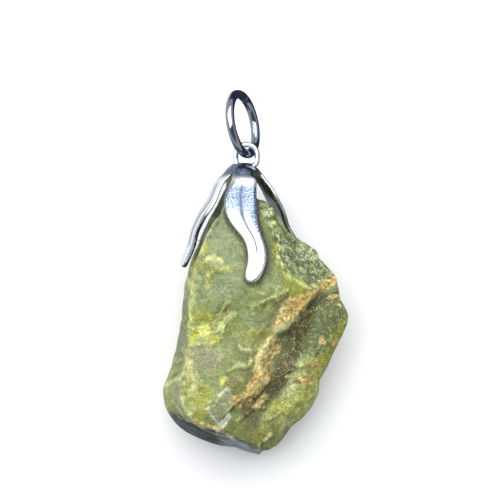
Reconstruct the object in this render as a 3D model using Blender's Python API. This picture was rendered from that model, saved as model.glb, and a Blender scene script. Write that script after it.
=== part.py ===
# Rough green opal in a silver bail cap, with a jump ring through the cap's eye.
# It lies on its back: +X is right, +Y runs up to the ring, +Z points away from the table.
# Lengths below are in millimetres and are turned into metres when a mesh is made.

import math

import bmesh
import bpy
import numpy as np
from mathutils import Matrix, Vector
from mathutils.bvhtree import BVHTree

MM = 0.001
SHIFT = (0.027, 0.037)

# stone: the point that its surface is measured from, and its softness at the edges
STONE_CENTRE = np.array([0.3, -7.4, 7.0])
EDGE_POWER = 46.0
STONE_SUBDIVISIONS = 7
STONE_TRIANGLES = 4800

# stone: outline as seen from above, clockwise from the top
OUTLINE = [
    (-3.2, 12.1), (0.3, 9.6), (1.5, 9.3), (4.1, 5.4), (6.1, 4.1), (7.9, 3.0), (8.3, 1.9),
    (10.3, -0.4), (11.0, -3.5), (12.1, -5.5), (11.9, -6.6), (11.0, -8.5), (10.0, -10.5),
    (8.7, -13.2), (8.3, -13.9), (8.2, -15.5), (7.4, -17.2), (5.9, -19.1), (4.7, -19.9),
    (2.8, -22.5), (1.7, -23.1), (0.8, -23.2), (0.45, -23.7), (-0.3, -23.5), (-2.8, -22.7),
    (-4.6, -22.5), (-6.8, -21.8), (-9.5, -20.4), (-10.4, -19.6), (-11.7, -17.7),
    (-12.1, -15.9), (-12.1, -14.8), (-11.6, -13.9), (-11.0, -12.2), (-10.4, -9.9),
    (-10.0, -7.7), (-9.6, -5.8), (-9.4, -2.8), (-9.3, -1.3), (-8.9, -0.4), (-8.6, 1.2),
    (-7.5, 3.6), (-6.4, 6.3), (-5.0, 8.8), (-4.1, 10.7),
]

# stone: height of the widest line and lean of the sides above and below it, by direction in degrees
WALL_ANGLE = [0, 45, 90, 150, 180, 212, 240, 265, 295, 325, 360]
WALL_HEIGHT = [7.0, 8.4, 7.5, 6.8, 6.0, 5.5, 5.0, 5.0, 5.6, 6.2, 7.0]
WALL_LEAN_UP = [0.36, 0.26, 0.05, 0.14, 0.15, 0.33, 0.22, 0.19, 0.26, 0.36, 0.36]
WALL_LEAN_DOWN = [0.35, 0.45, 0.15, 0.30, 0.35, 0.40, 0.40, 0.40, 0.40, 0.35, 0.35]

# stone: broken faces, each through three points
FACES = [
    ((-8.6, -1.0, 12.7), (-9.5, -18.8, 13.0), (0.0, -8.0, 15.3)),
    ((-1.0, -5.0, 15.3), (3.0, -7.0, 14.3), (-1.0, -16.0, 14.6)),
    ((3.3, 5.0, 11.2), (3.3, 2.0, 12.8), (10.0, -1.0, 9.4)),
    ((-3.2, 12.3, 8.3), (-5.0, 8.0, 11.0), (1.0, 8.0, 11.0)),
    ((-6.0, 5.0, 12.2), (2.0, 4.0, 12.7), (-2.0, -2.0, 14.9)),
    ((3.0, -13.0, 13.8), (8.5, -13.5, 9.9), (2.0, -22.0, 10.7)),
    ((6.0, -6.0, 12.6), (11.0, -6.0, 8.6), (7.0, -12.0, 11.4)),
    ((-9.5, -18.8, 13.0), (0.8, -22.6, 11.3), (-3.0, -14.0, 14.9)),
    ((-3.2, 12.3, 6.7), (-5.0, 8.0, 4.4), (1.0, 8.0, 4.4)),
    ((-5.0, 8.0, 4.5), (5.0, 8.0, 4.5), (0.0, -1.0, 1.2)),
    ((12.8, -5.0, 6.0), (7.6, -5.0, 0.3), (6.6, -16.0, 0.5)),
    ((-10.8, -5.0, 4.6), (-7.4, -5.0, 0.2), (-9.4, -16.0, 0.2)),
    ((-4.0, -23.8, 4.6), (-2.0, -20.0, 0.4), (3.0, -20.6, 0.4)),
    ((0.0, 0.0, -0.4), (1.0, 0.0, -0.4), (0.0, 1.0, -0.4)),
]

# stone: the tan crust runs along the brow of a step, with a valley on its right
CRUST_LINE = [
    (10.3, -0.7), (8.7, -1.2), (7.8, -2.1), (6.5, -2.8), (5.3, -3.5), (4.2, -4.7), (3.2, -5.7),
    (2.4, -6.7), (1.35, -9.0), (0.3, -11.1), (0.45, -12.4), (0.85, -13.6), (-0.45, -15.1),
    (-1.6, -16.1),
]
CRUST_RISE = 0.3
CRUST_WIDTH = 0.7
VALLEY_DEPTH = 1.25

# stone: a bright ledge at the lower left and a shell-shaped dish in the main face
LEDGE_LINE = [(-8.7, -7.9), (-6.4, -7.0), (-5.6, -7.3), (-3.9, -5.4)]
LEDGE_RISE = 0.55
DISH_CENTRE = (-2.4, -5.4)
DISH_RADIUS = 6.2
DISH_DEPTH = 0.65
SIDE_SCAR = 0.38

# cap: its axis runs along Y through this point; the skin is flared outside and hollow below
CAP_X = -1.7
CAP_Z = 7.5
CAP_SEGMENTS = 36
CAP_OUTSIDE = [(14.15, 0.6), (14.08, 1.15), (13.88, 1.45), (13.63, 1.75), (13.3, 2.15)]
CAP_RIM_OUTSIDE = 2.62
CAP_RIM_INSIDE = 1.98
CAP_RIM_Y = 12.45
CAP_RIM_NOTCH = 0.033
CAP_INSIDE = [(13.1, 1.5), (13.35, 0.95)]
CAP_SQUARENESS = 0.09

# eye of the cap
EYE_X = -1.2
EYE_TOP = 16.5
EYE_BOTTOM = 13.72
EYE_HALF_WIDTH = 1.38
EYE_WIRE_ACROSS = 0.28
EYE_WIRE_DEEP = 0.36

# prongs: distance along Y, sideways shift and half width of the front one
PRONG_Y = [
    11.9, 11.35, 10.7, 9.42, 8.13, 7.23, 6.19, 5.16, 4.26, 3.35, 2.32, 1.42, 0.65, -0.13, -0.77,
    -1.16,
]
PRONG_SHIFT = [
    0.25, 0.15, -0.07, -0.27, -0.2, -0.04, 0.35, 0.93, 1.47, 1.79, 1.91, 1.88, 1.66, 1.31, 1.13,
    1.05,
]
PRONG_HALF = [
    1.66, 1.68, 1.9, 2.1, 2.13, 2.03, 1.85, 1.56, 1.32, 1.28, 1.23, 1.2, 1.16, 1.05, 0.65, 0.14,
]
PRONG_ACROSS = [-1.0, -0.62, -0.12, 0.0, 0.12, 0.62, 1.0]
PRONG_THICK = 0.58
PRONG_CROWN = 0.22
PRONG_VEIN = 0.12
GAP = 0.3

# prongs: rim segment in the middle of the root, side that the S bends to, length, width of the S
PRONGS = [(9, 1.0, 1.0, 1.0), (16, -1.0, 0.9, 0.7), (34, 1.0, 0.84, 0.8), (26, 1.0, 0.92, 1.0)]

# jump ring: it swings about the bar at the top of the eye
RING_RADIUS = 3.9
RING_WIRE = 0.575
RING_REACH = 2.7
RING_LEAN = 10.0
RING_TURN = 67.0
RING_SEGMENTS = 36
RING_SIDES = 12


def remove_everything():
    for obj in list(bpy.data.objects):
        bpy.data.objects.remove(obj, do_unlink=True)


def new_material(name, colour, metallic, roughness):
    material = bpy.data.materials.new(name)
    material.use_nodes = True
    shader = material.node_tree.nodes["Principled BSDF"]
    shader.inputs["Base Color"].default_value = (*colour, 1.0)
    shader.inputs["Metallic"].default_value = metallic
    shader.inputs["Roughness"].default_value = roughness
    return material


def new_object(name, verts, faces):
    mesh = bpy.data.meshes.new(name)
    mesh.from_pydata([tuple(v) for v in np.asarray(verts) * MM], [], faces)
    mesh.validate()
    obj = bpy.data.objects.new(name, mesh)
    bpy.context.scene.collection.objects.link(obj)
    face_outward(obj)
    return obj


def face_outward(obj):
    bm = bmesh.new()
    bm.from_mesh(obj.data)
    bmesh.ops.recalc_face_normals(bm, faces=bm.faces)
    bm.to_mesh(obj.data)
    bm.free()


def bake_modifiers(obj):
    depsgraph = bpy.context.evaluated_depsgraph_get()
    mesh = bpy.data.meshes.new_from_object(obj.evaluated_get(depsgraph))
    obj.modifiers.clear()
    obj.data = mesh
    mesh.name = obj.name


def unite(obj, other):
    modifier = obj.modifiers.new("join", "BOOLEAN")
    modifier.operation = "UNION"
    modifier.solver = "EXACT"
    modifier.object = other
    bake_modifiers(obj)
    bpy.data.objects.remove(other, do_unlink=True)


def smooth_step(low, high, value):
    t = np.clip((value - low) / (high - low), 0.0, 1.0)
    return t * t * (3.0 - 2.0 * t)


# distance from a line of points in the XY plane, positive on its right-hand side
def side_distance(x, y, line):
    best = np.full(x.shape, 1e9)
    signed = np.zeros(x.shape)
    for (ax, ay), (bx, by) in zip(line[:-1], line[1:]):
        dx = bx - ax
        dy = by - ay
        t = np.clip(((x - ax) * dx + (y - ay) * dy) / (dx * dx + dy * dy), 0.0, 1.0)
        gap = np.hypot(x - ax - t * dx, y - ay - t * dy)
        side = np.where(dx * (y - ay) - dy * (x - ax) > 0.0, 1.0, -1.0)
        closer = gap < best
        best = np.where(closer, gap, best)
        signed = np.where(closer, side * gap, signed)
    return signed


# ridge, valley, ledge and dish, as a height to add to the front of the stone
def front_relief(x, y):
    crust = side_distance(x, y, CRUST_LINE)
    low = smooth_step(0.0, 1.3, crust) * smooth_step(6.5, 2.3, crust)
    end = smooth_step(-20.5, -15.5, y) * smooth_step(11.5, 8.0, x)
    relief = -VALLEY_DEPTH * low * end
    relief += CRUST_RISE * np.exp(-(crust / CRUST_WIDTH) ** 2)
    ledge = side_distance(x, y, LEDGE_LINE)
    near = smooth_step(3.2, 1.6, np.abs(x + 6.4))
    relief += LEDGE_RISE * near * smooth_step(-0.4, 0.7, -ledge) * smooth_step(9.0, 3.0, -ledge)
    relief -= 0.35 * near * np.exp(-((ledge - 0.9) / 0.7) ** 2)
    dish = np.hypot(x - DISH_CENTRE[0], y - DISH_CENTRE[1]) / DISH_RADIUS
    relief -= DISH_DEPTH * np.clip(1.0 - dish ** 2, 0.0, None)
    return relief


# shallow scars on the sides and the back, as a depth to take off
def side_relief(p):
    first = np.abs(np.sin(0.36 * p[:, 1] + 0.27 * p[:, 2] + 0.2 * p[:, 0]))
    second = np.abs(np.sin(0.33 * p[:, 0] - 0.31 * p[:, 2] + 0.19 * p[:, 1] + 1.0))
    return SIDE_SCAR * (first + second)


# how far the stone's surface is from its centre in each unit direction
def stone_reach(d, angle):
    total = np.zeros(len(d))
    for a, b, c in FACES:
        a = np.array(a) - STONE_CENTRE
        b = np.array(b) - STONE_CENTRE
        c = np.array(c) - STONE_CENTRE
        normal = np.cross(b - a, c - a)
        normal /= np.linalg.norm(normal)
        height = normal @ a
        if height < 0.0:
            normal = -normal
            height = -height
        total += (np.clip(d @ normal, 0.0, None) / height) ** EDGE_POWER

    rim = np.array(OUTLINE) - STONE_CENTRE[:2]
    rim_angle = np.degrees(np.arctan2(rim[:, 1], rim[:, 0])) % 360.0
    order = np.argsort(rim_angle)
    rho = np.interp(angle, rim_angle[order], np.hypot(rim[:, 0], rim[:, 1])[order], period=360.0)
    flat = np.hypot(d[:, 0], d[:, 1])
    lift = np.interp(angle, WALL_ANGLE, WALL_HEIGHT) - STONE_CENTRE[2]
    lean_up = np.interp(angle, WALL_ANGLE, WALL_LEAN_UP)
    lean_down = np.interp(angle, WALL_ANGLE, WALL_LEAN_DOWN)
    upper = np.clip(flat + lean_up * d[:, 2], 0.0, None) / (rho + lean_up * lift)
    lower = np.clip(flat - lean_down * d[:, 2], 0.0, None) / (rho - lean_down * lift)
    wall = np.maximum(upper, lower)
    total += wall ** EDGE_POWER
    return total ** (-1.0 / EDGE_POWER)


def make_stone():
    bm = bmesh.new()
    bmesh.ops.create_icosphere(bm, subdivisions=STONE_SUBDIVISIONS, radius=1.0)
    direction = np.array([v.co[:] for v in bm.verts])
    direction /= np.linalg.norm(direction, axis=1)[:, None]
    angle = np.degrees(np.arctan2(direction[:, 1], direction[:, 0])) % 360.0
    point = STONE_CENTRE + direction * stone_reach(direction, angle)[:, None]
    front = smooth_step(8.5, 11.5, point[:, 2])
    point[:, 2] += front * front_relief(point[:, 0], point[:, 1])
    widest = np.interp(angle, WALL_ANGLE, WALL_HEIGHT)
    side = smooth_step(0.4, 2.4, np.abs(point[:, 2] - widest)) * smooth_step(0.1, 1.6, point[:, 2])
    side *= 1.0 - smooth_step(10.0, 12.5, point[:, 2])
    point -= direction * (side * side_relief(point))[:, None]
    for vert, co in zip(bm.verts, point):
        vert.co = co * MM
    mesh = bpy.data.meshes.new("opal")
    bm.to_mesh(mesh)
    bm.free()
    obj = bpy.data.objects.new("opal", mesh)
    bpy.context.scene.collection.objects.link(obj)

    thin = obj.modifiers.new("thin", "DECIMATE")
    thin.ratio = STONE_TRIANGLES / len(mesh.polygons)
    bake_modifiers(obj)

    bm = bmesh.new()
    bm.from_mesh(obj.data)
    everything = list(bm.verts) + list(bm.edges) + list(bm.faces)
    bmesh.ops.bisect_plane(
        bm, geom=everything, dist=1e-7, plane_co=(0, 0, 0), plane_no=(0, 0, -1), clear_outer=True
    )
    bmesh.ops.holes_fill(bm, edges=[e for e in bm.edges if e.is_boundary], sides=0)
    bmesh.ops.remove_doubles(bm, verts=bm.verts, dist=2e-5)
    bmesh.ops.triangulate(bm, faces=bm.faces)
    bmesh.ops.recalc_face_normals(bm, faces=bm.faces)
    bm.to_mesh(obj.data)
    bm.free()
    return obj


def cap_point(j, y, radius):
    angle = 2.0 * math.pi * j / CAP_SEGMENTS
    spread = radius * (1.0 - CAP_SQUARENESS * (1.0 - math.cos(4.0 * angle)) * 0.5)
    return (CAP_X + spread * math.cos(angle), y, CAP_Z + spread * math.sin(angle))


def rim_height(j):
    away = min(abs((j - root + 18) % CAP_SEGMENTS - 18) for root, _, _, _ in PRONGS)
    return CAP_RIM_Y + CAP_RIM_NOTCH * away * away


# the cap's skin from the neck down to the rim and up again inside, with a prong let into each side
def make_cap(tree):
    count = CAP_SEGMENTS
    verts = []
    for y, radius in CAP_OUTSIDE:
        verts += [cap_point(j, y, radius) for j in range(count)]
    verts += [cap_point(j, rim_height(j), CAP_RIM_OUTSIDE) for j in range(count)]
    verts += [cap_point(j, rim_height(j), CAP_RIM_INSIDE) for j in range(count)]
    for y, radius in CAP_INSIDE:
        verts += [cap_point(j, y, radius) for j in range(count)]

    rim = len(CAP_OUTSIDE) * count
    rows = len(verts) // count
    roots = set()
    for root, _, _, _ in PRONGS:
        roots |= {(root + k) % count for k in range(-3, 3)}
    faces = [tuple(range(count)), tuple(range((rows - 1) * count, rows * count))]
    for i in range(rows - 1):
        for j in range(count):
            if i * count == rim and j in roots:
                continue
            k = (j + 1) % count
            faces.append((i * count + j, i * count + k, (i + 1) * count + k, (i + 1) * count + j))

    for root, hand, length, sway in PRONGS:
        loop = [rim + (root + k) % count for k in range(-3, 4)]
        loop += [rim + count + (root + k) % count for k in range(3, -4, -1)]
        for points in prong_rings(tree, root, hand, length, sway):
            start = len(verts)
            verts += points
            ahead = list(range(start, start + len(points)))
            for a in range(len(loop)):
                b = (a + 1) % len(loop)
                faces.append((loop[a], loop[b], ahead[b], ahead[a]))
            loop = ahead
        faces.append(tuple(loop))
    return new_object("bail_cap", verts, faces)


def make_eye():
    verts = []
    faces = []
    path = 28
    sides = 10
    middle = (EYE_TOP + EYE_BOTTOM) / 2.0
    tall = (EYE_TOP - EYE_BOTTOM) / 2.0
    for i in range(path):
        a = 2.0 * math.pi * i / path
        ca = math.cos(a)
        sa = math.sin(a)
        square = 0.88 if sa > 0.0 else 0.5
        px = EYE_X + EYE_HALF_WIDTH * math.copysign(abs(ca) ** square, ca)
        py = middle + tall * math.copysign(abs(sa) ** square, sa)
        normal = Vector((ca / EYE_HALF_WIDTH, sa / tall)).normalized()
        for j in range(sides):
            b = 2.0 * math.pi * j / sides
            out = EYE_WIRE_ACROSS * math.cos(b)
            verts.append((px + normal.x * out, py + normal.y * out, CAP_Z + EYE_WIRE_DEEP * math.sin(b)))
    for i in range(path):
        for j in range(sides):
            i2 = (i + 1) % path
            j2 = (j + 1) % sides
            faces.append((i * sides + j, i2 * sides + j, i2 * sides + j2, i * sides + j2))
    return new_object("eye", verts, faces)


# how far out the stone reaches beside the cap's axis, seen along the prong's outward direction
def stone_height(tree, y, side, out, across):
    start = Vector((CAP_X, y, CAP_Z)) + across * side + out * 40.0
    hit = tree.ray_cast(start * MM, -out, 80.0 * MM)
    if hit[0] is None:
        return -20.0
    return 40.0 - hit[3] / MM


def prong_rings(tree, root, hand, length, sway):
    yaw = 2.0 * math.pi * root / CAP_SEGMENTS
    out = Vector((math.cos(yaw), 0.0, math.sin(yaw)))
    across = Vector((-math.sin(yaw), 0.0, math.cos(yaw)))
    ys = [CAP_RIM_Y - (CAP_RIM_Y - y) * length for y in PRONG_Y]
    shifts = [-hand * sway * s for s in PRONG_SHIFT]
    need = []
    for y, shift, half in zip(ys, shifts, PRONG_HALF):
        reach = 1.9
        for dy in (-0.5, 0.0, 0.5):
            for u in (-1.0, -0.5, 0.0, 0.5, 1.0):
                reach = max(reach, stone_height(tree, y + dy, shift + u * half, out, across))
        need.append(reach + GAP)
    base = list(need)
    for _ in range(9):
        smooth = [base[0]]
        for i in range(1, len(base) - 1):
            smooth.append((base[i - 1] + 2.0 * base[i] + base[i + 1]) / 4.0)
        smooth.append(base[-1])
        base = [max(a, b) for a, b in zip(smooth, need)]

    rings = []
    for i, (y, shift, half) in enumerate(zip(ys, shifts, PRONG_HALF)):
        before = max(i - 1, 0)
        after = min(i + 1, len(ys) - 1)
        slope = (base[after] - base[before]) / (ys[after] - ys[before])
        normal = (out - Vector((0.0, slope, 0.0))) / math.hypot(slope, 1.0)
        points = []
        for u in PRONG_ACROSS + PRONG_ACROSS[::-1]:
            place = Vector((CAP_X, y, CAP_Z)) + across * (shift + u * half) + out * base[i]
            lift = 0.12 if abs(u) == 1.0 else 0.0
            if len(points) < len(PRONG_ACROSS):
                lift = PRONG_THICK + PRONG_CROWN * (1.0 - u * u) - lift
                if u == 0.0 and 0 < i < 13:
                    lift -= PRONG_VEIN
            points.append(tuple(place + normal * lift))
        rings.append(points)
    return rings


def make_jump_ring():
    lean = math.radians(RING_LEAN)
    turn = math.radians(RING_TURN)
    up = Vector((-math.sin(lean), math.cos(lean), 0.0))
    near = Vector(
        (-math.cos(lean) * math.cos(turn), -math.sin(lean) * math.cos(turn), math.sin(turn))
    )
    normal = up.cross(near)
    centre = Vector((EYE_X, EYE_TOP, CAP_Z)) + up * RING_REACH
    verts = []
    faces = []
    for i in range(RING_SEGMENTS):
        a = 2.0 * math.pi * i / RING_SEGMENTS
        radial = up * math.cos(a) + near * math.sin(a)
        for j in range(RING_SIDES):
            b = 2.0 * math.pi * j / RING_SIDES
            step = RING_RADIUS + RING_WIRE * math.cos(b)
            verts.append(tuple(centre + radial * step + normal * RING_WIRE * math.sin(b)))
    for i in range(RING_SEGMENTS):
        for j in range(RING_SIDES):
            i2 = (i + 1) % RING_SEGMENTS
            j2 = (j + 1) % RING_SIDES
            faces.append(
                (i * RING_SIDES + j, i2 * RING_SIDES + j, i2 * RING_SIDES + j2, i * RING_SIDES + j2)
            )
    return new_object("jump_ring", verts, faces)


remove_everything()

stone = make_stone()
surface = BVHTree.FromObject(stone, bpy.context.evaluated_depsgraph_get())

cap = make_cap(surface)
unite(cap, make_eye())

ring = make_jump_ring()

opal_green = new_material("opal_green", (0.33, 0.38, 0.17), 0.0, 0.45)
silver_cap = new_material("silver_cap", (0.84, 0.85, 0.88), 1.0, 0.22)
silver_ring = new_material("silver_ring", (0.80, 0.81, 0.84), 1.0, 0.18)
stone.data.materials.clear()
stone.data.materials.append(opal_green)
cap.data.materials.clear()
cap.data.materials.append(silver_cap)
ring.data.materials.clear()
ring.data.materials.append(silver_ring)

for obj in (stone, cap, ring):
    obj.data.transform(Matrix.Translation((SHIFT[0] * MM, SHIFT[1] * MM, 0.0)))
    obj.data.update()
    low = np.min([v.co[:] for v in obj.data.vertices], axis=0) / MM
    high = np.max([v.co[:] for v in obj.data.vertices], axis=0) / MM
    print(obj.name, len(obj.data.polygons), low.round(3), high.round(3))
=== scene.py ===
# Rough green opal in its silver cap, lying on a pale table and seen from straight above.
# Sizes are in millimetres in the CAD frame: x to the right, y up to the ring, z out of the table.

import math

import bpy
import numpy as np
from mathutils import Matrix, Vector
from mathutils.bvhtree import BVHTree


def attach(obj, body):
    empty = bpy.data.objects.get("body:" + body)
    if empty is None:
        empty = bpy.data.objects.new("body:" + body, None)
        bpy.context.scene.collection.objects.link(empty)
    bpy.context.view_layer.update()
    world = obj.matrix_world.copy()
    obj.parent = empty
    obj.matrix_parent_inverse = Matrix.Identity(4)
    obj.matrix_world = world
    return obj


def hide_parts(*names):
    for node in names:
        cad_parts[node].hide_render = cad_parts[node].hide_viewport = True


mm = 0.001
shift = np.array([0.027, 0.037, 0])


def smoothStep(low, high, value):
    t = np.clip((value - low) / (high - low), 0, 1)
    return t * t * (3 - 2 * t)


# one random number from 0 to 1 for each whole-numbered cell
def cellNoise(i, j, k, seed):
    h = (i * 73856093) ^ (j * 19349663) ^ (k * 83492791) ^ (seed * 2971215073)
    h &= 0xFFFFFFFF
    h = ((h ^ (h >> 13)) * 1274126177) & 0xFFFFFFFF
    h = (h ^ (h >> 16)) & 0xFFFFFFFF
    return h / 4294967295


# smooth noise from 0 to 1: random numbers at whole-numbered corners, blended in between
def softNoise(p, size, seed):
    q = p / size
    low = np.floor(q).astype(np.int64)
    f = q - low
    f = f * f * (3 - 2 * f)
    total = np.zeros(len(p))
    for corner in np.ndindex(2, 2, 2):
        weight = np.abs(1 - np.array(corner) - f).prod(axis=1)
        total += weight * cellNoise(*(low + corner).T, seed)
    return total


# soft noise at ever smaller sizes, each weaker than the last, around 0
def layeredNoise(p, size, layers, seed):
    total = np.zeros(len(p))
    share = 1
    for n in range(layers):
        total += share * (softNoise(p, size / 2.1 ** n, seed + n) - 0.5)
        share *= 0.55
    return total


# scattered points, one in each cell: squared distance to the nearest, in cells, and its own number
def scattered(p, size, seed):
    q = p / size
    low = np.floor(q).astype(np.int64)
    best = np.full(len(p), 9)
    own = np.zeros(len(p))
    for step in np.ndindex(3, 3, 3):
        cell = (low + step - 1).T
        gaps = [q[:, n] - cell[n] - cellNoise(*cell, seed + n) for n in range(3)]
        far = gaps[0] * gaps[0] + gaps[1] * gaps[1] + gaps[2] * gaps[2]
        own = np.where(far < best, cellNoise(*cell, seed + 3), own)
        best = np.minimum(best, far)
    return best, own


# distance from a line of points, and the same with a sign: positive on the left of its direction
def lineDistance(x, y, line):
    best = np.full(x.shape, 1e9)
    signed = np.zeros(x.shape)
    for (ax, ay), (bx, by) in zip(line[:-1], line[1:]):
        dx = bx - ax
        dy = by - ay
        t = np.clip(((x - ax) * dx + (y - ay) * dy) / (dx * dx + dy * dy), 0, 1)
        gap = np.hypot(x - ax - t * dx, y - ay - t * dy)
        side = np.where(dx * (y - ay) - dy * (x - ax) > 0, 1, -1)
        closer = gap < best
        best = np.where(closer, gap, best)
        signed = np.where(closer, side * gap, signed)
    return best, signed


# how far a point lies past either end of a line
def pastEnds(x, y, line):
    past = np.full(x.shape, -1e9)
    for (ax, ay), (bx, by) in ((line[0], line[1]), (line[-1], line[-2])):
        length = math.hypot(ax - bx, ay - by)
        past = np.maximum(past, ((x - ax) * (ax - bx) + (y - ay) * (ay - by)) / length)
    return past


# distance to a closed outline, positive inside
def areaDistance(x, y, corners):
    loop = [*corners, corners[0]]
    gap, _ = lineDistance(x, y, loop)
    inside = np.zeros(x.shape, dtype=bool)
    for (ax, ay), (bx, by) in zip(loop[:-1], loop[1:]):
        if ay != by:
            cross = (ay > y) != (by > y)
            inside ^= cross & (x < (bx - ax) * (y - ay) / (by - ay) + ax)
    return np.where(inside, gap, -gap)


def newMesh(name, points, faces):
    mesh = bpy.data.meshes.new(name)
    mesh.from_pydata((points * mm).tolist(), [], [tuple(f) for f in faces])
    mesh.update()
    mesh.shade_smooth()
    obj = bpy.data.objects.new(name, mesh)
    bpy.context.scene.collection.objects.link(obj)
    return obj


def storeMasks(obj, masks):
    for name, values in masks.items():
        layer = obj.data.attributes.new(name, "FLOAT", "POINT")
        layer.data.foreach_set("value", np.ascontiguousarray(values, dtype=np.float32))


# quads between rows of points, each row closed on itself
def bandQuads(rows, columns, start=0):
    i, j = np.meshgrid(np.arange(rows - 1), np.arange(columns), indexing="ij")
    k = (j + 1) % columns
    a = start + i * columns
    return np.stack([a + j, a + k, a + columns + k, a + columns + j], axis=-1).reshape(-1, 4)


stone = {
    "cells": 126,
    "quickCells": 60,
    "centre": (0.3, -7.4, 7),
    "halfSize": (12, 17.5, 7.5),
    "edgePower": 80,
    "outline": [
        (-3.2, 12.1), (0.3, 9.6), (1.5, 9.3), (4.1, 5.4), (6.1, 4.1), (7.9, 3), (8.3, 1.9),
        (10.3, -0.4), (11, -3.5), (12.1, -5.5), (11.9, -6.6), (11, -8.5), (10, -10.5),
        (8.7, -13.2), (8.3, -13.9), (8.2, -15.5), (7.4, -17.2), (5.9, -19.1), (4.7, -19.9),
        (2.8, -22.5), (1.7, -23.1), (0.8, -23.2), (0.45, -23.7), (-0.3, -23.5), (-2.8, -22.7),
        (-4.6, -22.5), (-6.8, -21.8), (-9.5, -20.4), (-10.4, -19.6), (-11.7, -17.7),
        (-12.1, -15.9), (-12.1, -14.8), (-11.6, -13.9), (-11, -12.2), (-10.4, -9.9),
        (-10, -7.7), (-9.6, -5.8), (-9.4, -2.8), (-9.3, -1.3), (-8.9, -0.4), (-8.6, 1.2),
        (-7.5, 3.6), (-6.4, 6.3), (-5, 8.8), (-4.1, 10.7),
    ],
    "wallAngle": [0, 45, 90, 150, 180, 212, 240, 265, 295, 325, 360],
    "wallHeight": [7, 8.4, 7.5, 6.8, 6, 5.5, 5, 5, 5.6, 6.2, 7],
    "wallLeanUp": [0.36, 0.26, 0.05, 0.14, 0.15, 0.33, 0.22, 0.19, 0.26, 0.36, 0.36],
    "wallLeanDown": [0.35, 0.45, 0.15, 0.3, 0.35, 0.4, 0.4, 0.4, 0.4, 0.35, 0.35],
    "faces": [
        ((-8.6, -1, 12.7), (-9.5, -18.8, 13), (0, -8, 15.3)),
        ((-1, -5, 15.3), (3, -7, 14.3), (-1, -16, 14.6)),
        ((3.3, 5, 11.2), (3.3, 2, 12.8), (10, -1, 9.4)),
        ((-3.2, 12.3, 8.3), (-5, 8, 11), (1, 8, 11)),
        ((-6, 5, 12.2), (2, 4, 12.7), (-2, -2, 14.9)),
        ((3, -13, 13.8), (8.5, -13.5, 9.9), (2, -22, 10.7)),
        ((6, -6, 12.6), (11, -6, 8.6), (7, -12, 11.4)),
        ((-9.5, -18.8, 13), (0.8, -22.6, 11.3), (-3, -14, 14.9)),
        ((-3.2, 12.3, 6.7), (-5, 8, 4.4), (1, 8, 4.4)),
        ((-5, 8, 4.5), (5, 8, 4.5), (0, -1, 1.2)),
        ((12.8, -5, 6), (7.6, -5, 0.3), (6.6, -16, 0.5)),
        ((-10.8, -5, 4.6), (-7.4, -5, 0.2), (-9.4, -16, 0.2)),
        ((-4, -23.8, 4.6), (-2, -20, 0.4), (3, -20.6, 0.4)),
    ],
    "crustLine": [
        (10.3, -0.7), (8.7, -1.2), (7.8, -2.1), (6.8, -3.2), (5.9, -4.3), (5.1, -5.7),
        (3.8, -6.6), (2.6, -7.3), (1.35, -9), (0.3, -11.1), (0.45, -12.4), (0.85, -13.6),
        (-0.45, -15.1), (-1.6, -16.1),
    ],
    "crustRise": 0.2,
    "crustWidth": 0.7,
    "valleyDepth": 1.25,
    # where the valley fades: beside the crust, on its far side, at its lower and at its upper end
    "valleyFades": ((0, 1.3), (6.5, 2.3), (-20.5, -15.5), (11.5, 8)),
    "ledgeLine": [(-8.7, -7.9), (-6.4, -7), (-5.6, -7.3), (-3.9, -5.4)],
    "ledgeRise": 0.55,
    "ledgeX": -6.4,
    # where the ledge fades: to both sides, at its brow and at its back
    "ledgeFades": ((3.2, 1.6), (-0.4, 0.7), (9, 3)),
    # the groove below the ledge: depth, distance and width
    "ledgeGroove": (0.35, 0.9, 0.7),
    "dishCentre": (-2.4, -5.4),
    "dishRadius": 6.2,
    "dishDepth": 0.65,
    "edgeFade": 0.8,
    "edgeStep": (-0.35, 0.3),
    "edgeRim": (0.15, 0.24),
    "frontHeight": (8.5, 11.5),
    "sideHeight": (10, 12.5),
    "sideScar": 0.38,
    # shell-shaped bowls: size of their cells, depth and seed
    "bowls": [(7.5, 0.6, 3), (3.1, 0.26, 8), (1.35, 0.06, 15)],
    "grain": 0.05,
    "crustGrain": 0.2,
    "chipRise": 0.1,
    # brows get a painted highlight and clefts painted shade
    # how far a brow stands out or a cleft lies back, in mm, where it begins and where it is full
    "brow": (0.012, 0.06),
    "cleftShade": (0, 0.05),
    # how much each mask adds to the speckle of the colour
    "speckled": {
        "dark": 1, "olive": 0.35, "valley": 0.1, "yellow": 0.3, "rim": 0.15, "lift": 0.35,
    },
}

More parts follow.
